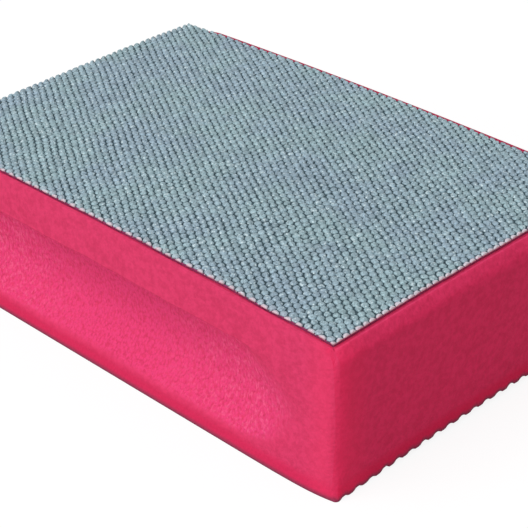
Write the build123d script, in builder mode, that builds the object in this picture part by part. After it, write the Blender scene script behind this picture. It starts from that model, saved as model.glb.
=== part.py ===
"""Abrasive hand pad: a foam block with two finger grooves, faced with an abrasive sheet.

The frame has +X along the pad, +Y across it and +Z up. The origin is under the middle of
the pad, on the plane of the rib crests that it stands on. All sizes are in millimetres.
"""

import os
from math import cos, radians, sin

from build123d import *

# Foam block
pad_length = 90.0
pad_width = 55.0
foam_height = 23.2  # from the rib crests to the glued top face
corner_radius = 1.2  # upright corners, seen from above
end_roll_radius = 1.4  # rounded top edge of each short end

# Ribbed base: a wave of flats and slopes that runs the length of the pad
rib_pitch = 2.5
rib_depth = 0.7
rib_crest_width = 0.7
rib_slope_run = 0.7  # width of one sloping flank, seen from the end
rib_rounding = 0.35

# Finger groove in each long side: a straight trough with a bowl at each end
groove_straight_length = 54.0
groove_bowl_reach = 11.5  # from the end of the straight trough to the tip of the bowl
groove_depth = 3.6
groove_top_wall = 6.3  # plain foam above the mouth
groove_bottom_wall = 2.4  # plain foam below it, down to the rib crests
groove_lip_radius = 0.6

# Adhesive film and abrasive sheet
sheet_end_inset = 1.4  # plain foam left at each short end
sheet_side_inset = 0.4  # plain foam left along each long side
film_thickness = 0.15
cloth_thickness = 0.3

# Rows of plated dots, drawn as ridges that run aslant over the cloth
ridge_spacing = 1.04
ridge_foot_width = 0.9
ridge_crest_width = 0.45
ridge_height = 0.35
ridge_angle = -31.0  # degrees from +X, seen from above

# Sizes that follow from those above
groove_half_height = (foam_height - groove_top_wall - groove_bottom_wall) / 2
groove_middle_z = groove_bottom_wall + groove_half_height
cutter_radius = (groove_half_height**2 + groove_depth**2) / (2 * groove_depth)
cutter_offset = pad_width / 2 - groove_depth + cutter_radius
sheet_length = pad_length - 2 * sheet_end_inset
sheet_width = pad_width - 2 * sheet_side_inset
sheet_thickness = cloth_thickness + ridge_height
film_top_z = foam_height + film_thickness
slant = radians(ridge_angle)
along_ridges = (cos(slant), sin(slant), 0)
across_ridges = (-sin(slant), cos(slant), 0)
half_span_along = (sheet_length * abs(cos(slant)) + sheet_width * abs(sin(slant))) / 2
half_span_across = (sheet_length * abs(sin(slant)) + sheet_width * abs(cos(slant))) / 2

os.makedirs("parts", exist_ok=True)


def base_wave():
    """Points of the ribbed base from -Y to +Y, in the plane across the pad."""
    valley_count = int(pad_width / rib_pitch)
    valley_floor = rib_pitch - rib_crest_width - 2 * rib_slope_run
    points = []
    for index in range(valley_count):
        middle = (index - (valley_count - 1) / 2) * rib_pitch
        points.append((middle - valley_floor / 2 - rib_slope_run, 0))
        points.append((middle - valley_floor / 2, rib_depth))
        points.append((middle + valley_floor / 2, rib_depth))
        points.append((middle + valley_floor / 2 + rib_slope_run, 0))
    return [(-pad_width / 2, 0), *points, (pad_width / 2, 0)]


def ridge_comb():
    """Outline across the ridges: the cloth's underside, then its top with every ridge."""
    ridges_each_way = int((half_span_across - ridge_foot_width / 2) / ridge_spacing)
    outline = [
        (half_span_across, cloth_thickness),
        (half_span_across, 0),
        (-half_span_across, 0),
        (-half_span_across, cloth_thickness),
    ]
    for index in range(-ridges_each_way, ridges_each_way + 1):
        middle = index * ridge_spacing
        outline.append((middle - ridge_foot_width / 2, cloth_thickness))
        outline.append((middle - ridge_crest_width / 2, sheet_thickness))
        outline.append((middle + ridge_crest_width / 2, sheet_thickness))
        outline.append((middle + ridge_foot_width / 2, cloth_thickness))
    return outline


# A stretched capsule that scoops one groove: a cylinder between two drawn-out spheres.
# It lies along X through the origin, and is carried to each long side when it cuts.
with BuildPart() as groove_cutter:
    with BuildSketch(Plane.YZ):
        Circle(cutter_radius)
    extrude(amount=groove_straight_length / 2, both=True)
    bowl = scale(
        Sphere(cutter_radius, mode=Mode.PRIVATE),
        by=(groove_bowl_reach / groove_half_height, 1, 1),
        mode=Mode.PRIVATE,
    )
    with Locations((-groove_straight_length / 2, 0, 0), (groove_straight_length / 2, 0, 0)):
        add(bowl)

# The foam block: its ribbed section run along the pad, kept to the plan with rounded
# corners and to the side view with rolled ends, then scooped on both long sides.
with BuildPart() as foam_block:
    with BuildSketch(Plane.YZ):
        with BuildLine():
            FilletPolyline(*base_wave(), radius=rib_rounding)
            Polyline(
                (pad_width / 2, 0),
                (pad_width / 2, foam_height),
                (-pad_width / 2, foam_height),
                (-pad_width / 2, 0),
            )
        make_face()
    extrude(amount=pad_length / 2, both=True)
    with BuildSketch(Plane.XY):
        RectangleRounded(pad_length, pad_width, corner_radius)
    extrude(amount=foam_height, mode=Mode.INTERSECT)
    with BuildSketch(Plane.XZ) as side_view:
        Rectangle(pad_length, foam_height, align=(Align.CENTER, Align.MIN))
        fillet(side_view.vertices().group_by(Axis.Z)[-1], end_roll_radius)
    extrude(amount=pad_width / 2, both=True, mode=Mode.INTERSECT)
    with Locations((0, -cutter_offset, groove_middle_z), (0, cutter_offset, groove_middle_z)):
        add(groove_cutter.part, mode=Mode.SUBTRACT)
    side_faces = foam_block.faces().sort_by(Axis.Y)
    groove_lips = side_faces[0].inner_wires().edges() + side_faces[-1].inner_wires().edges()
    fillet(groove_lips, groove_lip_radius)

# The adhesive film, flat on the foam and under the whole sheet
with BuildPart() as adhesive_film:
    with BuildSketch(Plane.XY.offset(foam_height)):
        Rectangle(sheet_length, sheet_width)
    extrude(amount=film_thickness)

# The abrasive sheet: cloth and ridges in one, run along the ridges and cut to size
ridge_plane = Plane(origin=(0, 0, film_top_z), x_dir=across_ridges, z_dir=along_ridges)
with BuildPart() as abrasive_sheet:
    with BuildSketch(ridge_plane):
        with BuildLine():
            Polyline(*ridge_comb(), close=True)
        make_face()
    extrude(amount=half_span_along, both=True)
    with BuildSketch(Plane.XY.offset(film_top_z)):
        Rectangle(sheet_length, sheet_width)
    extrude(amount=sheet_thickness, mode=Mode.INTERSECT)

foam_block.part.label = "foam_block"
adhesive_film.part.label = "adhesive_film"
abrasive_sheet.part.label = "abrasive_sheet"

export_step(foam_block.part, "parts/foam_block.step")
export_step(adhesive_film.part, "parts/adhesive_film.step")
export_step(abrasive_sheet.part, "parts/abrasive_sheet.step")
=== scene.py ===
"""Visual model of an abrasive hand pad.

A block of pink closed-cell foam, with a finger groove along each long side and a ribbed base,
carries an adhesive film, a dark cloth and rows of plated dots. Every piece is in metres, in
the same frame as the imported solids: +X along the pad, +Y across it, +Z up.
"""

import random
from math import ceil, cos, hypot, pi, radians, sin, sqrt

import bmesh
import bpy
from bpy.props import FloatProperty, FloatVectorProperty, IntProperty, PointerProperty
from mathutils import Matrix, Vector, noise


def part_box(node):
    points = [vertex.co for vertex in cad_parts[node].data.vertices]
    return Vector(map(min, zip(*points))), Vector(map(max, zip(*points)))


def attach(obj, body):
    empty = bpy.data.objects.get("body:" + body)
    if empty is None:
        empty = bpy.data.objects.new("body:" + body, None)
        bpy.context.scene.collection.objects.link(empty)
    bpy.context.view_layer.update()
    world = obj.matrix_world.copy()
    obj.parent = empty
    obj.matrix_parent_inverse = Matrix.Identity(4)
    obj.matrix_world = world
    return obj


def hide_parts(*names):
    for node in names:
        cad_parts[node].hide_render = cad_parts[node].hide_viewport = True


bl_info = {
    "name": "Abrasive Hand Pad",
    "version": (1, 0, 0),
    "blender": (4, 5, 0),
    "location": "View3D > Sidebar > Hand Pad",
    "description": "Foam hand pad with finger grooves, a ribbed base and a plated-dot face",
    "category": "Add Mesh",
}

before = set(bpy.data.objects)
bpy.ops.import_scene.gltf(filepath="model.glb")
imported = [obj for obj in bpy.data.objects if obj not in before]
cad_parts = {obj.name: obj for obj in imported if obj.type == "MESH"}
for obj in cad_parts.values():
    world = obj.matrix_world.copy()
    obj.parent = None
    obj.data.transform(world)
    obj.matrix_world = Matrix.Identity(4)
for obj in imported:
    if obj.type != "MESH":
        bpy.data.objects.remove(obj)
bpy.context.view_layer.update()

foam_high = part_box("foam_block")[1]
film_low, film_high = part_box("adhesive_film")
sheet_low, sheet_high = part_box("abrasive_sheet")

mm = 0.001
half_length, half_width, foam_top = foam_high
half_sheet_length, half_sheet_width, dot_top = sheet_high
cloth_bottom = sheet_low[2]


# ---- Settings ----


def Number(name, description, default, **extra):
    """A number that a user may change."""
    return FloatProperty(name=name, description=description, default=default, **extra)


def Length(name, description, default):
    """A length in metres."""
    return Number(name, description, default, unit="LENGTH", precision=5)


def Row(name, description, default, **extra):
    """A row of two or three numbers that a user may change."""
    return FloatVectorProperty(name=name, description=description, default=default, **extra)


def Colour(name, description, default):
    """A colour, in linear values."""
    return Row(name, description, default, subtype="COLOR", min=0, max=1)


class PadSlackSettings(bpy.types.PropertyGroup):
    """How far the soft pad departs from a squared-up block."""

    crown_along: Length("Crown along", "How far both ends of the top drop below its middle", 0.7 * mm)
    crown_across: Length("Crown across", "How far both sides of the top drop below its middle", 0.35 * mm)
    end_lean: Length("End lean", "How far each end leans in from the top to the base", 1.15 * mm)
    side_belly: Length("Side belly", "How far the foot of each long side bulges out", 0.95 * mm)
    base_arch: Length("Base arch", "How far the middle of the base lifts between the two sides", 0.7 * mm)
    swell: Length("Swell", "How far the free foam swells past its cut height", 0.15 * mm)
    rim: Length("Rim", "How far the foam stands up beside the sheet", 0.45 * mm)
    back_rim: Length("Back rim", "How far the foam stands up beside the sheet on the +Y side", 0.57 * mm)
    waviness: Length("Waviness", "Size of the slow unevenness of the cut foam", 0.07 * mm)
    seed: IntProperty(name="Seed", description="Which series of noise is used", default=193)


class PadFoamSettings(bpy.types.PropertyGroup):
    """Sizes and colours of the foam block."""

    corner_radius: Length("Corner radius", "Rounding of the upright corners on the long sides", 1.6 * mm)
    corner_breadth: Length("Corner breadth", "How far the rounding of a corner runs along an end", 2.4 * mm)
    corner_foot: Number(
        "Corner foot", "Share of the rounding that a corner keeps at the base", 0.3, min=0.1, max=1
    )
    end_roll_inset: Length("End roll inset", "How far the rolled top edge of an end lies in", 1.5 * mm)
    end_roll_height: Length("End roll height", "How far down an end its rolled edge reaches", 2.0 * mm)
    soft_edge: Length("Soft edge", "Width of the softened sharp edges", 0.12 * mm)
    rib_pitch: Length("Rib pitch", "Distance from rib to rib of the base", 2.5 * mm)
    rib_depth: Length("Rib depth", "Depth of the valleys of the base", 0.42 * mm)
    valley_width: Length("Valley width", "Flat floor of a valley", 0.4 * mm)
    valley_flank: Length("Valley flank", "Width of one flank of a rib", 0.7 * mm)
    groove_straight_length: Length(
        "Groove straight", "Length of the straight part of a finger groove", 50.0 * mm
    )
    groove_bowl_reach: Length("Groove bowl", "Length of the rounded end of a finger groove", 13.5 * mm)
    groove_depth: Length("Groove depth", "Depth of a finger groove", 3.6 * mm)
    groove_runout: Number(
        "Groove run-out", "Share of its depth that a groove loses at its ends", 0.3, min=0, max=0.9
    )
    groove_top_wall: Length(
        "Wall above groove", "Plain foam from the groove's mouth to the glued face", 5.8 * mm
    )
    groove_bottom_wall: Length(
        "Wall below groove", "Plain foam from the groove's mouth to the base", 2.9 * mm
    )
    pink: Colour("Foam pink", "Main colour of the foam", (0.8, 0.049, 0.158))
    deep_pink: Colour("Deep pink", "Darker drifts in the foam", (0.64, 0.034, 0.114))
    # painted shade: the deeper red of the ends stands in for the sheen that the lit long sides have and the
    # shaded ends lack
    end_shade_tint: Colour("End tint", "Tints the foam of the cut short ends", (1.0, 0.6, 0.76))
    groove_pink: Colour("Groove pink", "Grains of the cut grooves", (0.85, 0.055, 0.202))
    torn_pink: Colour("Torn pink", "Torn cells at a groove's ends", (0.95, 0.125, 0.285))
    # painted shade: a dark colour standing in for the shadow in the crease under the upper lip
    crease_shade_pink: Colour("Crease pink", "Foam in the crease of a lip", (0.3, 0.01, 0.045))
    # painted light: a brighter red near the upright corners stands in for the light round them
    corner_light_pink: Colour("Corner pink", "Foam of the upright corners", (0.92, 0.043, 0.14))
    red: Colour("Foam red", "Colour of the foam next to its base", (0.72, 0.021, 0.102))
    # painted shadow: a dark colour at the very foot standing in for the contact shadow on the floor
    foot: Colour("Foam foot", "Shaded foot of the base", (0.15, 0.045, 0.085))


class PadSheetSettings(bpy.types.PropertyGroup):
    """Sizes and colours of the film, the cloth and the plated dots."""

    cloth_thickness: Length("Cloth thickness", "Thickness of the cloth", 0.3 * mm)
    thread_pitch: Length("Thread pitch", "Distance between threads", 0.34 * mm)
    column_spacing: Length("Column spacing", "Distance between columns of dots along the pad", 1.0075 * mm)
    sheet_shift: Row(
        "Sheet shift", "How far the sheet is stuck on off-centre, along and across",
        (-0.3 * mm, 0.35 * mm), size=2, subtype="XYZ", precision=5,
    )
    edge_trim: Length("Edge trim", "How far inside the packed outline the dots are cut off", 0.4 * mm)
    cut_waviness: Length("Cut waviness", "Size of the slow unevenness of the sheet's cut edges", 0.22 * mm)
    cloth_back: Length("Cloth back", "How far the cloth lies behind the cut dots", 0.12 * mm)
    dot_radius: Length("Dot radius", "Radius of a dot at its foot", 0.6 * mm)
    dot_stretch: Number(
        "Dot stretch", "How much longer and narrower the dots are along their strands", 0.06
    )
    dot_sink: Length("Dot sink", "How far a dot is set into the cloth", 0.05 * mm)
    dot_sides: IntProperty(
        name="Dot sides", description="Number of sides of a dot", default=8, min=5, max=12
    )
    seed: IntProperty(name="Seed", description="Start of the random series", default=7)
    plating: Colour("Plating", "Main colour of the dots", (0.29, 0.412, 0.448))
    plating_blue: Colour("Blue plating", "Bluer drifts of dots", (0.278, 0.378, 0.452))
    # painted shade: a dark colour at the dots' feet stands in for the shade in the gaps between them
    plating_foot_shade: Colour("Plating in gaps", "Dots at their feet", (0.1, 0.17, 0.2))
    # painted highlight: bright specks standing in for glints of light on the grit
    painted_glint: Colour("Spark", "Bright specks of grit on the dots", (0.56, 0.68, 0.72))
    cut_dot: Colour("Cut dot", "Cut faces of dots along the edge", (0.88, 0.7, 0.78))
    cloth: Colour("Cloth", "Dark cloth between the dots", (0.07, 0.12, 0.145))
    film: Colour("Film", "Adhesive film under the cloth", (0.38, 0.06, 0.2))


class PadStageSettings(bpy.types.PropertyGroup):
    """Floor, light and camera."""

    floor_size: Length("Floor size", "Side of the square floor", 6.0)
    floor: Colour("Floor", "Colour of the floor", (0.6, 0.6, 0.6))
    floor_glow: Number("Floor glow", "Brightness of the floor as background", 1.17, min=0)
    key_place: Row(
        "Key light place", "Where the main lamp hangs", (-0.07, -0.6, 0.67), subtype="TRANSLATION"
    )
    key_size: Length("Key light size", "Side of the main lamp", 0.9)
    key_power: Number("Key light power", "Power of the main lamp", 6.0, unit="POWER")
    fill_level: Number("Fill level", "Strength of the light all round", 0.52, min=0)
    camera_place: Row(
        "Camera place", "Where the camera stands", (0.17322, -0.15406, 0.1428), subtype="TRANSLATION"
    )
    camera_azimuth: Number("Camera azimuth", "Turn about Z", radians(48.02), subtype="ANGLE")
    camera_elevation: Number(
        "Camera elevation", "How far the camera looks down", radians(30.67), subtype="ANGLE"
    )
    camera_roll: Number("Camera roll", "Turn about the line of sight", radians(-3.15), subtype="ANGLE")
    lens: Number("Lens", "Focal length in millimetres", 123.7, subtype="DISTANCE_CAMERA")


# ---- Shape helpers ----

ROUNDING = 1e-6  # so that a stretch of whole steps isn't divided once more
BELLY_SQUARENESS = 12  # how near to the ends a long side keeps its full belly


def mix(start, stop, share):
    """The value that lies share of the way from start to stop."""
    return start + (stop - start) * share


def smooth(low, high, value):
    """Rises gently from 0 at low to 1 at high."""
    share = min(max((value - low) / (high - low), 0.0), 1.0)
    return share * share * (3 - 2 * share)


def graded(start, stretches):
    """Places from start on, through stretches that each give (where it ends, widest step)."""
    places = [start]
    for stop, step in stretches:
        count = max(1, ceil((stop - places[-1]) / step - ROUNDING))
        first = places[-1]
        places += [mix(first, stop, index / count) for index in range(1, count + 1)]
    return places


def lattice_box(places, open_sides=False):
    """A box divided at the given places along each axis, open on its two Y sides if asked."""
    box = bmesh.new()
    bmesh.ops.create_cube(box, size=1.0)
    box.normal_update()
    if open_sides:
        sides = [face for face in box.faces if abs(face.normal.y) > 0.5]
        bmesh.ops.delete(box, geom=sides, context="FACES_ONLY")
    for axis, cuts in enumerate(places):
        long_edges = [e for e in box.edges if abs((e.verts[1].co - e.verts[0].co)[axis]) > 0.5]
        if len(cuts) > 2:
            bmesh.ops.subdivide_edges(box, edges=long_edges, cuts=len(cuts) - 2)
    for vert in box.verts:
        vert.co = Vector(
            cuts[round((vert.co[axis] + 0.5) * (len(cuts) - 1))]
            for axis, cuts in enumerate(places)
        )
    return box


def relaxed(point, slack):
    """Where a point of the squared-up pad comes to lie in the soft, relaxed one."""
    along = point.x / half_length
    across = point.y / half_width
    height = min(point.z / foam_top, 1.0)
    drop = slack.crown_along * along**2 + slack.crown_across * across**2 - slack.swell
    belly = slack.side_belly * (1 - along**BELLY_SQUARENESS)
    arch = slack.base_arch * (1 - across**2)
    x = point.x - slack.end_lean * along * (1 - height)
    y = point.y + belly * across * (1 - height)
    z = point.z - drop * height + arch * (1 - height)
    return Vector((x, y, z))


def finished(name, shape, materials, node_name):
    """Makes the object of a finished shape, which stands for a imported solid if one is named."""
    if not all(edge.is_manifold for edge in shape.edges):
        raise RuntimeError(name + " isn't a closed shape")
    mesh = bpy.data.meshes.new(name)
    shape.to_mesh(mesh)
    shape.free()
    for polygon in mesh.polygons:
        polygon.use_smooth = True
    for material in materials:
        mesh.materials.append(material)
    piece = bpy.data.objects.new(name, mesh)
    bpy.context.scene.collection.objects.link(piece)
    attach(piece, "root")
    if node_name:
        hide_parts(node_name)
    return piece


# ---- Foam block ----

# The groove's section. A reach is a share of the way from its middle line to its mouth.
LIP_ZONE = 1.17  # reach of the outer edge of the soft lip
LIP_START = 0.5  # reach from which a lip has all of its softness
BOWL_ZONE = 0.82  # reach up to which the bowl is coarsely divided, and the lip finely
BORDER_RINGS, LIP_RINGS, BOWL_RINGS = 7, 16, 13  # rings of faces in each zone of a long side
UPPER_LIP = (0.3, 0.012)  # (steepness of the wall, softness of the lip): above the groove,
LOWER_LIP = (0.95, 0.08)  # below it,
BOWL_LIP = (2.0, 0.3)  # and at the tip of the bowl
LIP_HOLD = 6  # how slowly the lips above and below turn into the one at the tip
# painted shade: the crease's dark colour lies between these reaches
CREASE = (0.9, 0.95, 0.99, 1.03)  # reaches between which the upper lip's crease sets in and ends
UPPER_STEEPNESS = 0.95  # steepness from which a lip counts as the upper one
CUT_REACH = (0.9, 0.5)  # reach up to which foam is fully cut: at the lower lip, and elsewhere
CUT_TURN = (-0.9, -0.4)  # steepness over which the first turns into the second
BOWL_TURN = 3 * mm  # how far past the straight trough the border still faces it
RUNOUT = (10 * mm, 34 * mm)  # from where to where along the pad the groove gets shallower

# The edges of the block
ROLL_REACH = 6 * mm  # length of foam that makes room for an end's rolled edge
ROLL_STRAIGHT = 0.5  # share of an end's rolled edge that is straight
FOOT_HEIGHT = 6 * mm  # height over which a corner gains its full rounding
# painted light: a corner's own colour is a brighter red that stands in for the light round it
CORNER_GLOW = (1.5 * mm, 7 * mm)  # from where to where off a corner its own colour fades
FRONT_RIM_RISE = (0.2 * mm, 0.5 * mm)  # from where to where off the sheet the rim rises: at -Y,
END_RIM_RISE = (0.25 * mm, 0.85 * mm)  # at +X,
BACK_RIM_RISE = (0.05 * mm, 0.3 * mm)  # and at +Y, where little foam is left
FRONT_RIM_START = (0, 2 * mm)  # from where to where off the -X end the rim sets in: at -Y,
BACK_RIM_START = (4 * mm, 9 * mm)  # and at +Y
RIM_DEPTH = 3 * mm  # how far down the rim's lift reaches into the foam
# painted shade: the rim at +Y takes part of the crease's dark colour
BACK_RIM_SHADE = 0.75  # how much of the crease's colour the rim has at +Y,
RIM_SHADE_DEPTH = 0.3 * mm  # and how far down

# Unevenness
SLOW_WAVE, QUICK_WAVE = 9 * mm, 2.6 * mm  # sizes of the waves of cut foam
TOP_CALM, BASE_CALM = 2 * mm, 1.5 * mm  # over which they fade out at the glued face and the base
RIB_WAVE = 4 * mm  # size of the waves in the depth of the ribs
RIB_UNEVENNESS = 0.5  # share by which the ribs' depth wavers
RIB_HEIGHT = 2.5 * mm  # height over which the ribs fade out on the sides


def groove_lines(x, z, foam):
    """The mouth and the middle line of the groove that a point of the side's border faces.

    Gives the mouth's point, the middle line's point and how steeply the mouth lies above (1)
    or below (-1) the middle line. Past the straight trough, the border's points are dealt out
    evenly round the bowl.
    """
    half_height = (foam_top - foam.groove_top_wall - foam.groove_bottom_wall) / 2
    middle_z = foam.groove_bottom_wall + half_height
    half_straight = foam.groove_straight_length / 2
    turn = half_straight + BOWL_TURN
    upwards = 1 if z > middle_z else -1
    if abs(x) <= turn:
        middle = Vector((x * half_straight / turn, middle_z))
        return middle + Vector((0, upwards * half_height)), middle, upwards
    sideways = 1 if x > 0 else -1
    end_z = foam_top if upwards > 0 else 0
    travelled = abs(x) - turn + abs(end_z - z)
    angle = pi / 2 * (1 - travelled / (half_length - turn + abs(end_z - middle_z)))
    middle = Vector((sideways * half_straight, middle_z))
    reach = Vector((sideways * foam.groove_bowl_reach * cos(angle), upwards * half_height * sin(angle)))
    return middle + reach, middle, upwards * sin(angle)


def groove_sink(reach, steepness, x, foam):
    """How deep the groove is at a share of the way from its middle line to its mouth."""
    lip = UPPER_LIP if steepness > 0 else LOWER_LIP
    share = steepness**LIP_HOLD
    power, softness = (mix(a, b, share) for a, b in zip(BOWL_LIP, lip))
    spread = softness * smooth(0, LIP_START, reach)
    samples = [reach + spread * step / 4 for step in range(-4, 5)]
    walls = [max(0.0, 1 - sample**2) ** power for sample in samples]
    depth = foam.groove_depth * (1 - foam.groove_runout * smooth(*RUNOUT, abs(x)))
    return depth * sum(walls) / len(walls)


def side_rings():
    """The rings of a long side: (share of the way out to its border, reach of its groove)."""
    rings = [(1 - step / BORDER_RINGS, LIP_ZONE) for step in range(1, BORDER_RINGS)]
    rings += [(0, mix(LIP_ZONE, BOWL_ZONE, step / LIP_RINGS)) for step in range(LIP_RINGS + 1)]
    rings += [(0, mix(BOWL_ZONE, 0, step / BOWL_RINGS)) for step in range(1, BOWL_RINGS + 1)]
    return rings


def cut_share(reach, steepness):
    """How far a point's foam is cut, from 0 on the plain side to 1 in the groove."""
    fully_cut = mix(*CUT_REACH, smooth(*CUT_TURN, steepness))
    return 1 - smooth(fully_cut, CREASE[3], reach)


def crease_shade_share(reach, steepness, x):
    """How far a point takes the painted shade of the crease under the groove's upper lip, from 0 to 1."""
    lip = smooth(*CREASE[:2], reach) * (1 - smooth(*CREASE[2:], reach))
    return lip * (steepness > UPPER_STEEPNESS) * (1 - smooth(*RUNOUT, abs(x)))


def close_side(block, side, foam):
    """Fills one long side ring by ring, from its border over the groove's lip to its middle."""
    layers = block.verts.layers
    border = layers.float_vector["border"]
    grooved = layers.float["groove"]
    crease_shaded = layers.float["crease"]
    loop = [
        edge
        for edge in block.edges
        if edge.is_boundary and all(vert.co.y * side > 0 for vert in edge.verts)
    ]
    for share_out, reach in side_rings():
        grown = bmesh.ops.extrude_edge_only(block, edges=loop)["geom"]
        ring = {item for item in grown if isinstance(item, bmesh.types.BMVert)}
        loop = [
            item
            for item in grown
            if isinstance(item, bmesh.types.BMEdge) and ring.issuperset(item.verts)
        ]
        for vert in ring:
            start = Vector((vert[border].x, vert[border].z))
            mouth, middle, steepness = groove_lines(*start, foam)
            place = middle + (mouth - middle) * reach
            x, z = place.lerp(start, share_out)
            sink = 0 if share_out else groove_sink(reach, steepness, x, foam)
            vert.co = (x, side * (half_width - sink), z)
            vert[grooved] = cut_share(reach, steepness)
            # painted shade: how far this point takes the crease's dark colour
            vert[crease_shaded] = crease_shade_share(reach, steepness, x)


def round_corners(point, foam):
    """Carries a point near an upright corner onto the quarter ellipse that rounds it."""
    rounding = mix(foam.corner_foot, 1, smooth(0, FOOT_HEIGHT, point.z))
    depth = foam.corner_radius * rounding
    breadth = foam.corner_breadth * rounding
    along = 1 - (half_length - abs(point.x)) / depth
    across = 1 - (half_width - abs(point.y)) / breadth
    if along <= 0 or across <= 0:
        return point
    share = max(along, across) / hypot(along, across)
    x = half_length - depth * (1 - along * share)
    y = half_width - breadth * (1 - across * share)
    return Vector((x if point.x > 0 else -x, y if point.y > 0 else -y, point.z))


def roll_end(point, foam):
    """Rolls the top edge of each short end inwards: upright, then curved, then straight."""
    near_end = max(0.0, abs(point.x) - (half_length - ROLL_REACH)) / ROLL_REACH
    below = min(max((foam_top - point.z) / foam.end_roll_height, 0.0), 1.0)
    curved = (1 - max(below, ROLL_STRAIGHT)) ** 2 / 2 / (1 - ROLL_STRAIGHT)
    straight = max(ROLL_STRAIGHT - below, 0.0)
    inset = foam.end_roll_inset * near_end * (curved + straight) * 2 / (1 + ROLL_STRAIGHT)
    return Vector((point.x - inset if point.x > 0 else point.x + inset, point.y, point.z))


def rib_rise(point, foam):
    """How far the ribbed base lies above the crests at a point, fading out up the sides."""
    from_valley = abs((point.y / foam.rib_pitch) % 1 - 0.5) * foam.rib_pitch
    half_floor = foam.valley_width / 2
    valley = 1 - smooth(half_floor, half_floor + foam.valley_flank, from_valley)
    uneven = 1 + RIB_UNEVENNESS * noise.noise((0, point.y / RIB_WAVE, 0))
    return foam.rib_depth * valley * uneven * max(0.0, 1 - point.z / RIB_HEIGHT)


def back_rim_share(point, sheet):
    """How far a point is part of the foam's rim on the +Y side, from 0 to 1."""
    beyond = point.y - (half_sheet_width - sheet.edge_trim + sheet.sheet_shift[1])
    return smooth(*BACK_RIM_RISE, beyond) * smooth(*BACK_RIM_START, half_length + point.x)


def raise_rim(point, sheet, slack):
    """Lifts the margin of the glued face round the off-centre sheet, but not at its -X end."""
    beyond_end = point.x - (half_sheet_length - sheet.edge_trim + sheet.sheet_shift[0])
    beyond_front = -point.y - (half_sheet_width - sheet.edge_trim - sheet.sheet_shift[1])
    front = smooth(*FRONT_RIM_RISE, beyond_front)
    front *= smooth(*FRONT_RIM_START, half_length + point.x)
    lift = max(
        slack.rim * smooth(*END_RIM_RISE, beyond_end),
        slack.rim * front,
        slack.back_rim * back_rim_share(point, sheet),
    )
    return Vector((0, 0, lift * smooth(foam_top - RIM_DEPTH, foam_top, point.z)))


def wander(point, slack):
    """The slow unevenness of cut foam, none on the glued face or under the crests."""
    free = smooth(0, TOP_CALM, foam_top - point.z) * smooth(0, BASE_CALM, point.z)
    slow = noise.noise_vector(point / SLOW_WAVE) * 2
    quick = noise.noise_vector(point / QUICK_WAVE)
    return (slow + quick) * slack.waviness * free


def foam_places(foam):
    """Where the foam is divided along each axis: finely at its edges, its ribs and its rim."""
    long_places = graded(
        -half_length,
        (
            (-half_length + 0.6 * mm, 0.12 * mm),
            (-half_length + 1.8 * mm, 0.2 * mm),
            (-half_length + 19 * mm, 0.5 * mm),
            (half_length - 19 * mm, 1.5 * mm),
            (half_length - 1.8 * mm, 0.5 * mm),
            (half_length - 0.6 * mm, 0.2 * mm),
            (half_length, 0.12 * mm),
        ),
    )
    cross_places = graded(
        -half_width, ((half_width - 0.6 * mm, foam.rib_pitch / 8), (half_width, 0.1 * mm))
    )
    high_places = graded(
        0,
        (
            (1.4 * mm, 0.35 * mm),
            (foam_top - 5 * mm, 0.8 * mm),
            (foam_top - 1.6 * mm, 0.4 * mm),
            (foam_top, 0.2 * mm),
        ),
    )
    return long_places, cross_places, high_places


def foam_shape(foam, sheet, slack):
    """The foam block as a closed mesh."""
    noise.seed_set(slack.seed)
    block = lattice_box(foam_places(foam), open_sides=True)
    layers = block.verts.layers
    border = layers.float_vector.new("border")
    layers.float.new("groove")
    crease_shaded = layers.float.new("crease")
    height = layers.float.new("height")
    corner = layers.float.new("corner")
    for vert in block.verts:
        vert[border] = vert.co
        # painted shade: the top of the rim at +Y takes part of the crease's dark colour
        if vert.co.z > foam_top - RIM_SHADE_DEPTH:
            vert[crease_shaded] = BACK_RIM_SHADE * back_rim_share(vert.co, sheet)
    for side in (-1, 1):
        close_side(block, side, foam)
    bmesh.ops.remove_doubles(block, verts=block.verts, dist=0.001 * mm)
    bmesh.ops.recalc_face_normals(block, faces=block.faces)
    layers.float_vector.remove(layers.float_vector["border"])
    for vert in block.verts:
        vert[height] = vert.co.z / mm
        off_corner = hypot(half_length - abs(vert.co.x), half_width - abs(vert.co.y))
        vert[corner] = 1 - smooth(*CORNER_GLOW, off_corner)
        point = roll_end(round_corners(vert.co.copy(), foam), foam)
        point += Vector((0, 0, rib_rise(vert.co, foam)))
        point += wander(point, slack) + raise_rim(point, sheet, slack)
        vert.co = relaxed(point, slack)
    return block


# ---- Film, cloth and dots ----

DRIFT_WAVE = 8 * mm  # size of the waves in the sheet's cut edges
SLAB_STEP = 1.5 * mm  # widest step in which the film and the cloth are divided

# One dot, in shares of its height and of its radius at the foot
SHOULDER_HEIGHT = 0.5
SHOULDER_RADIUS = 0.9
CROWN_RISE = 0.38  # of the height, from the shoulder to the edge of the crown
CROWN_INSET = 0.32  # of the radius, from the shoulder in to the edge of the crown
SPARE_REACH = 1.1  # a dot is left out if it lies this many radii past the outline

# How far the dots differ from each other
DOT_DRIFT = 0.03 * mm
DOT_WIDTHS = (0.93, 1.05)
DOT_HEIGHTS = (0.82, 1.0)
DOT_UNEVENNESS = 0.2
PALE_EDGE = (0.1 * mm, 0.75 * mm)  # from where to where inside the outline cut dots are pale


def laid(point, sheet, slack):
    """Where a point of the squared-up sheet comes to lie: off-centre, uneven and relaxed."""
    drift = noise.noise_vector(Vector((point.x, point.y, 0)) / DRIFT_WAVE) * sheet.cut_waviness
    shift = Vector(sheet.sheet_shift) + drift.xy
    return relaxed(point + Vector((*shift, 0)), slack)


def slab_half_size(sheet):
    """Half the length and half the width of the film and the cloth."""
    back = sheet.edge_trim + sheet.cloth_back
    return half_sheet_length - back, half_sheet_width - back


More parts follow.
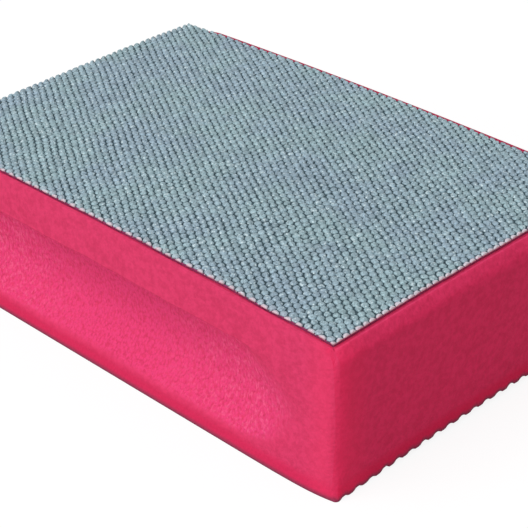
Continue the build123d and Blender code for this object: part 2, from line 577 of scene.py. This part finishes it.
def slab_shape(bottom, top, sheet, slack):
    """A thin sheet, a little smaller than the dots' outline, that follows the foam's crown."""
    noise.seed_set(slack.seed)
    length, width = slab_half_size(sheet)
    slab = lattice_box(
        (
            graded(-length, ((length, SLAB_STEP),)),
            graded(-width, ((width, SLAB_STEP),)),
            [bottom, mix(bottom, top, 0.5), top],
        )
    )
    bmesh.ops.recalc_face_normals(slab, faces=slab.faces)
    for vert in slab.verts:
        vert.co = laid(vert.co, sheet, slack)
    return slab


def dot_shape(sheet, height):
    """One plated dot: a low dome on a closed foot, centred on Z."""
    dot = bmesh.new()
    shoulder = height * SHOULDER_HEIGHT
    bmesh.ops.create_cone(
        dot,
        cap_ends=True,
        segments=sheet.dot_sides,
        radius1=sheet.dot_radius,
        radius2=sheet.dot_radius * SHOULDER_RADIUS,
        depth=shoulder,
        matrix=Matrix.Translation((0, 0, shoulder / 2)),
    )
    dot.normal_update()
    crown = max(dot.faces, key=lambda face: face.normal.z)
    inset = sheet.dot_radius * CROWN_INSET
    bmesh.ops.inset_region(dot, faces=[crown], thickness=inset, depth=height * CROWN_RISE)
    peak = bmesh.ops.poke(dot, faces=[crown])["verts"][0]
    peak.co.z = height
    return dot


def repeat(shape, step, count):
    """Adds count copies of all that the shape holds, each one step further on."""
    everything = [*shape.verts, *shape.edges, *shape.faces]
    no_turn = {"cent": (0, 0, 0), "axis": (0, 0, 1), "angle": 0}
    bmesh.ops.spin(shape, geom=everything, dvec=step, steps=count, use_duplicate=True, **no_turn)


def foot_centre(verts):
    """The middle of a dot's foot."""
    low = min(vert.co.z for vert in verts)
    ring = [vert.co for vert in verts if vert.co.z == low]
    return sum(ring, Vector()) / len(ring)


def place_dot(verts, spot, height, chance, layers, sheet):
    """Brings a dot to its spot, a little off it, and turns, sizes and dents it at random."""
    centre = foot_centre(verts)
    shift = Vector((chance.uniform(-1, 1), chance.uniform(-1, 1), 0)) * DOT_DRIFT
    wide = chance.uniform(*DOT_WIDTHS)
    tall = chance.uniform(*DOT_HEIGHTS)
    turned = Matrix.Rotation(chance.uniform(0, pi), 3, "Z")
    shade = chance.random()
    strand = Vector((sqrt(3) / 2, -1 / 2, 0))  # the way that the strands of dots run
    for vert in verts:
        offset = turned @ (vert.co - centre)
        vert[layers["rise"]] = offset.z / height
        vert[layers["tone"]] = shade
        uneven = 1 + DOT_UNEVENNESS * chance.uniform(-1, 1)
        offset = Vector((offset.x * wide * uneven, offset.y * wide * uneven, offset.z * tall))
        along = offset.dot(strand) * strand
        flat = Vector((offset.x, offset.y, 0))
        offset += sheet.dot_stretch * (2 * along - flat)
        vert.co = spot + shift + offset


def dots_shape(sheet, slack):
    """All plated dots: staggered columns, each dot a little uneven, cut at the sheet's edge."""
    noise.seed_set(slack.seed)
    foot = cloth_bottom + sheet.cloth_thickness - sheet.dot_sink
    height = dot_top - foot
    spacing = sheet.column_spacing
    pitch = spacing * 2 / sqrt(3)
    half_columns = ceil(half_sheet_length / spacing / 2) + 1
    half_rows = ceil(half_sheet_width / pitch) + 1
    dots = dot_shape(sheet, height)
    corners = len(dots.verts)
    repeat(dots, (spacing, pitch / 2, 0), 1)
    repeat(dots, (0, pitch, 0), 2 * half_rows)
    repeat(dots, (2 * spacing, 0, 0), 2 * half_columns)
    length = half_sheet_length - sheet.edge_trim
    width = half_sheet_width - sheet.edge_trim
    first_spot = Vector((length - 4 * half_columns * spacing, -width - pitch, foot))
    layers = {name: dots.verts.layers.float.new(name) for name in ("tone", "rise", "edge")}
    dots.verts.ensure_lookup_table()
    chance = random.Random(sheet.seed)
    spare = []
    for first in range(0, len(dots.verts), corners):
        verts = dots.verts[first : first + corners]
        spot = first_spot + foot_centre(verts)
        inside = min(length - abs(spot.x), width - abs(spot.y))
        if inside < -SPARE_REACH * sheet.dot_radius:
            spare += verts
            continue
        pale = 1 - smooth(*PALE_EDGE, min(length - spot.x, width + spot.y))
        for vert in verts:
            vert[layers["edge"]] = pale
        place_dot(verts, spot, height, chance, layers, sheet)
    bmesh.ops.delete(dots, geom=spare, context="VERTS")
    cut_dots(dots, length, width)
    for vert in dots.verts:
        vert.co = laid(vert.co, sheet, slack)
    return dots


def cut_dots(dots, length, width):
    """Cuts the dots off at the sheet's outline and closes the cuts with the second material."""
    ways = ((1, 0, 0), (-1, 0, 0), (0, 1, 0), (0, -1, 0))
    for outwards, edge in zip(ways, (length, length, width, width)):
        cut = bmesh.ops.bisect_plane(
            dots,
            geom=[*dots.verts, *dots.edges, *dots.faces],
            dist=0.0001 * mm,
            plane_co=edge * Vector(outwards),
            plane_no=outwards,
            clear_outer=True,
        )
        rims = [item for item in cut["geom_cut"] if isinstance(item, bmesh.types.BMEdge)]
        bmesh.ops.edgeloop_fill(dots, edges=rims, mat_nr=1)
    bmesh.ops.recalc_face_normals(dots, faces=dots.faces)


# ---- Shader helpers ----


def feed(tree, socket, value):
    """Gives an input socket a plain value, or a link if the value is an output socket."""
    if isinstance(value, bpy.types.NodeSocket):
        tree.links.new(value, socket)
    else:
        socket.default_value = (*value[:3], 1) if socket.type == "RGBA" else value


def add_node(tree, kind, inputs=None, **settings):
    """Adds a node with its settings, and feeds its inputs."""
    node = tree.nodes.new(kind)
    for name, value in settings.items():
        setattr(node, name, value)
    for name, value in (inputs or {}).items():
        feed(tree, node.inputs[name], value)
    return node


def darker(colour, level):
    """A colour at a share of its level."""
    return [level * part for part in colour]


def attribute(tree, name):
    """The number that the mesh carries at each point under a name."""
    return add_node(tree, "ShaderNodeAttribute", attribute_name=name).outputs["Fac"]


def maths(tree, operation, *values):
    """The result of one operation on one or two numbers."""
    return add_node(tree, "ShaderNodeMath", dict(enumerate(values)), operation=operation).outputs[0]


def ranged(tree, value, low, high, to_low=0.0, to_high=1.0, kind="LINEAR"):
    """Carries a number from one range over to another, and holds it at the ends."""
    inputs = {"Value": value, "From Min": low, "From Max": high, "To Min": to_low, "To Max": to_high}
    return add_node(tree, "ShaderNodeMapRange", inputs, interpolation_type=kind).outputs["Result"]


def mixed(tree, share, first, second, kind="RGBA", **settings):
    """What lies share of the way from the first colour, or number, to the second."""
    inputs = {"Factor": share, "A": first, "B": second}
    return add_node(tree, "ShaderNodeMix", inputs, data_type=kind, **settings).outputs["Result"]


def scaled(tree, vector, scale):
    """A vector, or a colour, times a number."""
    inputs = {0: vector, "Scale": scale}
    return add_node(tree, "ShaderNodeVectorMath", inputs, operation="SCALE").outputs["Vector"]


def part_of(tree, vector, axis):
    """The X, Y or Z part of a vector."""
    return add_node(tree, "ShaderNodeSeparateXYZ", {"Vector": vector}).outputs[axis]


def facing(tree, axis):
    """The X, Y or Z part of the direction that the surface faces."""
    geometry = add_node(tree, "ShaderNodeNewGeometry")
    return part_of(tree, geometry.outputs["True Normal"], axis)


def clouds(tree, place, scale, roughness):
    """Soft noise with three levels of detail."""
    inputs = {"Vector": place, "Scale": scale, "Detail": 3.0, "Roughness": roughness}
    return add_node(tree, "ShaderNodeTexNoise", inputs).outputs["Fac"]


def cells(tree, place, scale):
    """Rounded cells: how far each point is from the middle of its cell, and the cell's colour."""
    inputs = {"Vector": place, "Scale": scale}
    made = add_node(tree, "ShaderNodeTexVoronoi", inputs, feature="F1").outputs
    return made["Distance"], made["Color"]


# ---- Shared effects ----


def new_group(name, inputs, outputs):
    """A shader node group: the group, its given inputs and the sockets of its results."""
    group = bpy.data.node_groups.new(name, "ShaderNodeTree")
    group.interface.new_socket("Vector", in_out="INPUT", socket_type="NodeSocketVector")
    for socket, kind, default in inputs:
        made = group.interface.new_socket(socket, in_out="INPUT", socket_type=kind)
        made.default_value = default
    for socket, kind in outputs:
        group.interface.new_socket(socket, in_out="OUTPUT", socket_type=kind)
    given = group.nodes.new("NodeGroupInput").outputs
    result = group.nodes.new("NodeGroupOutput").inputs
    return group, given, result


def drift_group():
    """Two colours that drift into each other in soft patches."""
    group, given, result = new_group(
        "Colour Drift",
        [
            ("First", "NodeSocketColor", (1, 1, 1, 1)),
            ("Second", "NodeSocketColor", (0, 0, 0, 1)),
            ("Patches per metre", "NodeSocketFloat", 100.0),
            ("Contrast", "NodeSocketFloat", 0.3),
        ],
        [("Colour", "NodeSocketColor")],
    )
    patches = clouds(group, given["Vector"], given["Patches per metre"], 0.6)
    low = maths(group, "SUBTRACT", 0.5, given["Contrast"])
    high = maths(group, "ADD", 0.5, given["Contrast"])
    share = ranged(group, patches, low, high)
    feed(group, result["Colour"], mixed(group, share, given["First"], given["Second"]))


def grain_group():
    """Rounded grains with sunk joints, broken up by finer noise."""
    group, given, result = new_group(
        "Grain",
        [
            ("Grains per metre", "NodeSocketFloat", 3000.0),
            ("Fineness", "NodeSocketFloat", 0.5),
        ],
        [("Height", "NodeSocketFloat"), ("Joints", "NodeSocketFloat")],
    )
    distance = cells(group, given["Vector"], given["Grains per metre"])[0]
    fine_scale = maths(group, "MULTIPLY", given["Grains per metre"], 1.1)
    fine = clouds(group, given["Vector"], fine_scale, 0.65)
    rounded = maths(group, "SUBTRACT", 1.0, distance)
    height = mixed(group, given["Fineness"], rounded, fine, kind="FLOAT")
    joints = ranged(group, distance, 0.25, 0.75, kind="SMOOTHSTEP")
    patchy = ranged(group, fine, 0.36, 0.6)
    feed(group, result["Height"], height)
    feed(group, result["Joints"], maths(group, "MULTIPLY", joints, patchy))


def weave_group():
    """Plain weave of threads along X and Y."""
    group, given, result = new_group(
        "Plain Weave",
        [("Threads per metre", "NodeSocketFloat", 3000.0)],
        [("Height", "NodeSocketFloat")],
    )
    threads = scaled(group, given["Vector"], given["Threads per metre"])
    waves = [
        maths(group, "SINE", maths(group, "MULTIPLY", part_of(group, threads, axis), pi))
        for axis in ("X", "Y")
    ]
    feed(group, result["Height"], maths(group, "MULTIPLY", *waves))


def use_group(tree, name, place, inputs):
    """Places a shared group in a material, on the given coordinates, and gives its results."""
    inputs = {"Vector": place, **inputs}
    return add_node(tree, "ShaderNodeGroup", inputs, node_tree=bpy.data.node_groups[name]).outputs


def drifting(tree, place, first, second, patches, contrast=0.3):
    """A colour that drifts between two others in soft patches, so many to a metre."""
    inputs = {"First": first, "Second": second, "Patches per metre": patches, "Contrast": contrast}
    return use_group(tree, "Colour Drift", place, inputs)["Colour"]


def grainy(tree, place, grains, fineness=0.5):
    """Grains, so many to a metre: their height, and how far a point is in a joint."""
    made = use_group(tree, "Grain", place, {"Grains per metre": grains, "Fineness": fineness})
    return made["Height"], made["Joints"]


# ---- Materials ----

# Heights in millimetres between which the foam changes towards its base
RED_BAND = (3.3, 1.5)
# painted shadow: the second band darkens the foot of the base where it meets the floor
FOOT_SHADE_BAND = (1.1, 0.0)

# Share to which each effect shows
RED_SHARE = 0.9
FOOT_SHADE_SHARE = 0.8
CORNER_SHARE = 0.45
MOTTLE_SHARE = 0.62
FLECK_SHARE = 0.6
PALE_SHARE = 0.6
BACKGROUND_SHARE = 0.75

JOINT_STRENGTH = 1.3  # how strongly the joints between grains take on the moulded colour
TORN_ZONE = (6 * mm, 24 * mm)  # from where to where off the middle a groove's torn cells set in
# painted shade: how far a surface faces along the pad to take the ends' tint
END_FACING = (0.45, 0.9)  # how far a surface faces along the pad to be tinted as an end
TOP_FACING = (0.4, 0.8)  # how far the cloth faces up to have its own colour
DOT_TONES = (0.91, 1.09)  # darkest and lightest dot
GRIT_TONES = (0.7, 1.3)  # darkest and lightest grain of grit
# painted highlight: the grit chosen below takes a bright glint colour
GLINT_CHOICE = (0.9, 0.97)  # the share of grit, from 0.9 on, that sparkles


def new_material(name, roughness, specular=0.5):
    """A material with a Principled shader. Gives the material, its tree and the shader."""
    material = bpy.data.materials.new(name)
    material.use_nodes = True
    tree = material.node_tree
    shader = tree.nodes["Principled BSDF"]
    feed(tree, shader.inputs["Roughness"], roughness)
    feed(tree, shader.inputs["Specular IOR Level"], specular)
    return material, tree, shader


def object_place(tree):
    """Coordinates in the object's own space."""
    return add_node(tree, "ShaderNodeTexCoord").outputs["Object"]


def dress(tree, shader, colour, height, depth, strength=1.0):
    """Gives a shader its colour and a fine relief of the given depth."""
    inputs = {"Height": height, "Distance": depth, "Strength": strength}
    relief = add_node(tree, "ShaderNodeBump", inputs).outputs["Normal"]
    feed(tree, shader.inputs["Base Color"], colour)
    feed(tree, shader.inputs["Normal"], relief)


def plain_foam(tree, place, foam):
    """Colour of the foam's plain skin: mottled pink, redder next to the base."""
    pinks = foam.pink, foam.deep_pink
    broad = drifting(tree, place, *pinks, patches=130.0, contrast=0.42)
    mottled = drifting(tree, place, *pinks, patches=1100.0, contrast=0.11)
    low_band = ranged(tree, attribute(tree, "height"), *RED_BAND, kind="SMOOTHSTEP")
    red_share = maths(tree, "MULTIPLY", low_band, RED_SHARE)
    return mixed(tree, red_share, mixed(tree, MOTTLE_SHARE, broad, mottled), foam.red)


def tinted_foam(tree, plain, foam):
    """Colour of the plain skin with the painted light of the upright corners and the painted shade tint of
    the short ends.
    """
    # painted light: foam near the upright corners takes a brighter red
    corner_share = maths(tree, "MULTIPLY", attribute(tree, "corner"), CORNER_SHARE)
    cornered = mixed(tree, corner_share, plain, foam.corner_light_pink)
    # painted shade: faces that look along the pad are tinted deeper red
    endways = maths(tree, "ABSOLUTE", facing(tree, "X"))
    end_shade_share = ranged(tree, endways, *END_FACING)
    return mixed(tree, end_shade_share, cornered, foam.end_shade_tint, blend_type="MULTIPLY")


def cut_foam(tree, place, plain, foam):
    """Colour and height of the granular foam in a groove, with torn cells near its ends."""
    inputs = {0: place, 1: (1, 1, 0.6)}
    upright = add_node(tree, "ShaderNodeVectorMath", inputs, operation="MULTIPLY")
    upright = upright.outputs["Vector"]
    height, joints = grainy(tree, upright, 2500.0, 0.6)
    joint_share = maths(tree, "MULTIPLY", joints, JOINT_STRENGTH)
    grained = mixed(tree, joint_share, foam.groove_pink, plain)
    torn = grainy(tree, upright, 1900.0, 0.8)[0]
    flecks = ranged(tree, torn, 0.5, 0.62, to_high=FLECK_SHARE)
    off_middle = maths(tree, "ABSOLUTE", part_of(tree, place, "X"))
    fleck_share = maths(tree, "MULTIPLY", ranged(tree, off_middle, *TORN_ZONE), flecks)
    return mixed(tree, fleck_share, grained, foam.torn_pink), height


def foam_material(foam):
    """Dense closed-cell foam: smooth where moulded, granular where the grooves are cut."""
    material, tree, shader = new_material("Pink Foam", 0.82, 0.16)
    place = object_place(tree)
    in_groove = attribute(tree, "groove")
    plain = plain_foam(tree, place, foam)
    cut, cut_height = cut_foam(tree, place, plain, foam)
    surfaced = mixed(tree, in_groove, tinted_foam(tree, plain, foam), cut)
    # painted shade: the crease under the upper lip and the rim at +Y are darkened
    darkened = mixed(tree, attribute(tree, "crease"), surfaced, foam.crease_shade_pink)
    # painted shadow: the foot of the base is darkened where it meets the floor
    foot_shade_share = ranged(
        tree, attribute(tree, "height"), *FOOT_SHADE_BAND, to_high=FOOT_SHADE_SHARE, kind="SMOOTHSTEP"
    )
    foot_shaded = mixed(tree, foot_shade_share, darkened, foam.foot)
    skin_height = grainy(tree, place, 1700.0, 0.6)[0]
    height = mixed(tree, in_groove, skin_height, cut_height, kind="FLOAT")
    strength = ranged(tree, in_groove, 0.0, 1.0, 0.5, 1.0)
    dress(tree, shader, foot_shaded, height, 0.3 * mm, strength)
    return material


def film_material(sheet):
    """Thin dark adhesive with a slightly uneven, squeezed-out edge."""
    material, tree, shader = new_material("Adhesive Film", 0.4)
    place = object_place(tree)
    colour = drifting(tree, place, sheet.film, darker(sheet.film, 0.45), 900.0)
    dress(tree, shader, colour, grainy(tree, place, 2500.0)[0], 0.05 * mm, 0.5)
    return material


def cloth_material(sheet):
    """Dark woven cloth, coloured by the film where it is cut."""
    material, tree, shader = new_material("Dark Cloth", 0.85, 0.3)
    place = object_place(tree)
    colour = drifting(tree, place, sheet.cloth, darker(sheet.cloth, 0.6), 700.0)
    upward = ranged(tree, facing(tree, "Z"), *TOP_FACING)
    edged = mixed(tree, upward, sheet.film, colour)
    weave = use_group(tree, "Plain Weave", place, {"Threads per metre": 1 / sheet.thread_pitch})
    dress(tree, shader, edged, weave["Height"], 0.08 * mm, 0.8)
    return material


def dot_material(sheet):
    """Grey-blue plating full of fine grit, with painted shade at the feet and painted glints on top."""
    material, tree, shader = new_material("Plated Grit", 0.48)
    feed(tree, shader.inputs["Metallic"], 0.15)
    place = object_place(tree)
    edge = attribute(tree, "edge")
    risen = ranged(tree, attribute(tree, "rise"), 0.0, 0.4, kind="SMOOTHSTEP")
    grit_colour = cells(tree, place, 4600.0)[1]
    chosen = add_node(tree, "ShaderNodeSeparateColor", {"Color": grit_colour}).outputs
    plating = drifting(tree, place, sheet.plating, sheet.plating_blue, 110.0, contrast=0.12)
    toned = scaled(tree, plating, ranged(tree, attribute(tree, "tone"), 0.0, 1.0, *DOT_TONES))
    gritty = scaled(tree, toned, ranged(tree, chosen["Green"], 0.0, 1.0, *GRIT_TONES))
    pale_share = maths(tree, "MULTIPLY", edge, PALE_SHARE)
    crown = mixed(tree, pale_share, gritty, sheet.cut_dot)
    # painted shade: a dot's foot is dark, and near the sheet's edge it takes the film's purple
    foot = mixed(tree, edge, sheet.plating_foot_shade, sheet.film)
    # painted highlight: chosen grains on the upper parts of the dots take a bright glint colour
    glint_share = maths(tree, "MULTIPLY", ranged(tree, chosen["Red"], *GLINT_CHOICE), risen)
    colour = mixed(tree, glint_share, mixed(tree, risen, foot, crown), sheet.painted_glint)
    dress(tree, shader, colour, grainy(tree, place, 3600.0, 0.35)[0], 0.12 * mm)
    return material


def cut_dot_material(sheet):
    """The pale inside of dots that were cut through with the sheet."""
    material, tree, shader = new_material("Cut Dot", 0.55, 0.4)
    place = object_place(tree)
    colour = drifting(tree, place, sheet.cut_dot, darker(sheet.cut_dot, 0.6), 1500.0)
    dress(tree, shader, colour, grainy(tree, place, 7000.0)[0], 0.03 * mm, 0.6)
    return material


def background_share(tree):
    """1 for rays that see the surroundings directly or by reflection, 0 for light on the pad."""
    rays = add_node(tree, "ShaderNodeLightPath").outputs
    seen = maths(tree, "MAXIMUM", rays["Is Camera Ray"], rays["Is Glossy Ray"])
    return maths(tree, "MAXIMUM", seen, rays["Is Transmission Ray"])


def floor_material(stage):
    """A pale floor that keeps the pad's shadow and runs into the white background."""
    material, tree, shader = new_material("Pale Floor", 0.9, 0.0)
    feed(tree, shader.inputs["Base Color"], stage.floor)
    glow = add_node(tree, "ShaderNodeEmission", {"Strength": stage.floor_glow})
    share = maths(tree, "MULTIPLY", background_share(tree), BACKGROUND_SHARE)
    inputs = {"Fac": share, 1: shader.outputs["BSDF"], 2: glow.outputs["Emission"]}
    blend = add_node(tree, "ShaderNodeMixShader", inputs).outputs["Shader"]
    feed(tree, tree.nodes["Material Output"].inputs["Surface"], blend)
    return material


# ---- Operators ----

SHARP_ANGLE = radians(42)  # an edge sharper than this is softened
SENSOR_WIDTH = 36  # of the camera, in millimetres
NEAR_CLIP = 10 * mm  # the camera sees nothing nearer than this


class HANDPAD_OT_effects(bpy.types.Operator):
    """Build the node groups that the pad's materials share"""

    bl_idname = "handpad.effects"
    bl_label = "Shared Effects"

    def execute(self, context):
        drift_group()
        grain_group()
        weave_group()
        return {"FINISHED"}


class HANDPAD_OT_foam(bpy.types.Operator):
    """Model the foam block with its finger grooves and ribbed base"""

    bl_idname = "handpad.foam"
    bl_label = "Foam Block"

    def execute(self, context):
        scene = context.scene
        foam = scene.handpad_foam
        shape = foam_shape(foam, scene.handpad_sheet, scene.handpad_slack)
        piece = finished("foam_block_soft", shape, [foam_material(foam)], "foam_block")
        edges = piece.modifiers.new("Soft edges", "BEVEL")
        edges.width = foam.soft_edge
        edges.segments = 2
        edges.limit_method = "ANGLE"
        edges.angle_limit = SHARP_ANGLE
        return {"FINISHED"}


class HANDPAD_OT_film(bpy.types.Operator):
    """Model the adhesive film between the foam and the cloth"""

    bl_idname = "handpad.film"
    bl_label = "Adhesive Film"

    def execute(self, context):
        scene = context.scene
        sheet = scene.handpad_sheet
        shape = slab_shape(film_low[2], film_high[2], sheet, scene.handpad_slack)
        finished("film", shape, [film_material(sheet)], "adhesive_film")
        return {"FINISHED"}


class HANDPAD_OT_cloth(bpy.types.Operator):
    """Model the cloth that carries the dots"""

    bl_idname = "handpad.cloth"
    bl_label = "Cloth"

    def execute(self, context):
        scene = context.scene
        sheet = scene.handpad_sheet
        top = cloth_bottom + sheet.cloth_thickness
        shape = slab_shape(cloth_bottom, top, sheet, scene.handpad_slack)
        piece = finished("cloth", shape, [cloth_material(sheet)], "abrasive_sheet")
        return {"FINISHED"}


class HANDPAD_OT_dots(bpy.types.Operator):
    """Model the rows of plated dots"""

    bl_idname = "handpad.dots"
    bl_label = "Plated Dots"

    def execute(self, context):
        scene = context.scene
        sheet = scene.handpad_sheet
        shape = dots_shape(sheet, scene.handpad_slack)
        materials = [dot_material(sheet), cut_dot_material(sheet)]
        finished("plated_dots", shape, materials, None)
        return {"FINISHED"}


class HANDPAD_OT_stage(bpy.types.Operator):
    """Set up the floor, the light and the camera"""

    bl_idname = "handpad.stage"
    bl_label = "Stage"

    def execute(self, context):
        scene = context.scene
        stage = scene.handpad_stage
        scene.view_settings.view_transform = "Standard"
        add_floor(scene, stage)
        add_light(scene, stage)
        add_camera(scene, stage)
        return {"FINISHED"}


def add_floor(scene, stage):
    """A wide plane just under the ribs."""
    plane = bmesh.new()
    bmesh.ops.create_grid(plane, x_segments=1, y_segments=1, size=stage.floor_size / 2)
    mesh = bpy.data.meshes.new("floor")
    plane.to_mesh(mesh)
    plane.free()
    mesh.materials.append(floor_material(stage))
    ground = bpy.data.objects.new("floor", mesh)
    scene.collection.objects.link(ground)


def add_light(scene, stage):
    """One large soft lamp, and an even light from all round."""
    lamp = bpy.data.lights.new("key", "AREA")
    lamp.shape = "SQUARE"
    lamp.size = stage.key_size
    lamp.energy = stage.key_power
    key = bpy.data.objects.new("key", lamp)
    key.location = stage.key_place
    key.rotation_euler = Vector(stage.key_place).to_track_quat("Z", "Y").to_euler()
    scene.collection.objects.link(key)
    world = bpy.data.worlds.new("Soft Surround")
    scene.world = world
    world.use_nodes = True
    tree = world.node_tree
    background = tree.nodes["Background"]
    level = mixed(tree, background_share(tree), stage.fill_level, 1.0, kind="FLOAT")
    feed(tree, background.inputs["Color"], (1, 1, 1, 1))
    feed(tree, background.inputs["Strength"], level)


def add_camera(scene, stage):
    """The camera, turned by azimuth, elevation and roll."""
    camera = bpy.data.objects.new("camera", bpy.data.cameras.new("camera"))
    camera.data.lens = stage.lens
    camera.data.sensor_width = SENSOR_WIDTH
    camera.data.clip_start = NEAR_CLIP
    camera.matrix_world = (
        Matrix.Translation(stage.camera_place)
        @ Matrix.Rotation(stage.camera_azimuth, 4, "Z")
        @ Matrix.Rotation(pi / 2 - stage.camera_elevation, 4, "X")
        @ Matrix.Rotation(stage.camera_roll, 4, "Z")
    )
    scene.collection.objects.link(camera)
    scene.camera = camera


class HANDPAD_PT_panel(bpy.types.Panel):
    """Lists the steps that build the hand pad"""

    bl_label = "Hand Pad"
    bl_space_type = "VIEW_3D"
    bl_region_type = "UI"
    bl_category = "Hand Pad"

    def draw(self, context):
        for step in steps:
            self.layout.operator(step.bl_idname)


steps = (
    HANDPAD_OT_effects,
    HANDPAD_OT_foam,
    HANDPAD_OT_film,
    HANDPAD_OT_dots,
    HANDPAD_OT_cloth,
    HANDPAD_OT_stage,
)
settings = {
    "handpad_slack": PadSlackSettings,
    "handpad_foam": PadFoamSettings,
    "handpad_sheet": PadSheetSettings,
    "handpad_stage": PadStageSettings,
}


def register():
    for name, group in settings.items():
        bpy.utils.register_class(group)
        setattr(bpy.types.Scene, name, PointerProperty(type=group))
    for step in steps:
        bpy.utils.register_class(step)
    bpy.utils.register_class(HANDPAD_PT_panel)


def unregister():
    bpy.utils.unregister_class(HANDPAD_PT_panel)
    for step in reversed(steps):
        bpy.utils.unregister_class(step)
    for name, group in settings.items():
        delattr(bpy.types.Scene, name)
        bpy.utils.unregister_class(group)


def main():
    register()
    bpy.ops.handpad.effects()
    bpy.ops.handpad.foam()
    bpy.ops.handpad.film()
    bpy.ops.handpad.dots()
    bpy.ops.handpad.cloth()
    bpy.ops.handpad.stage()


if __name__ == "__main__":
    main()
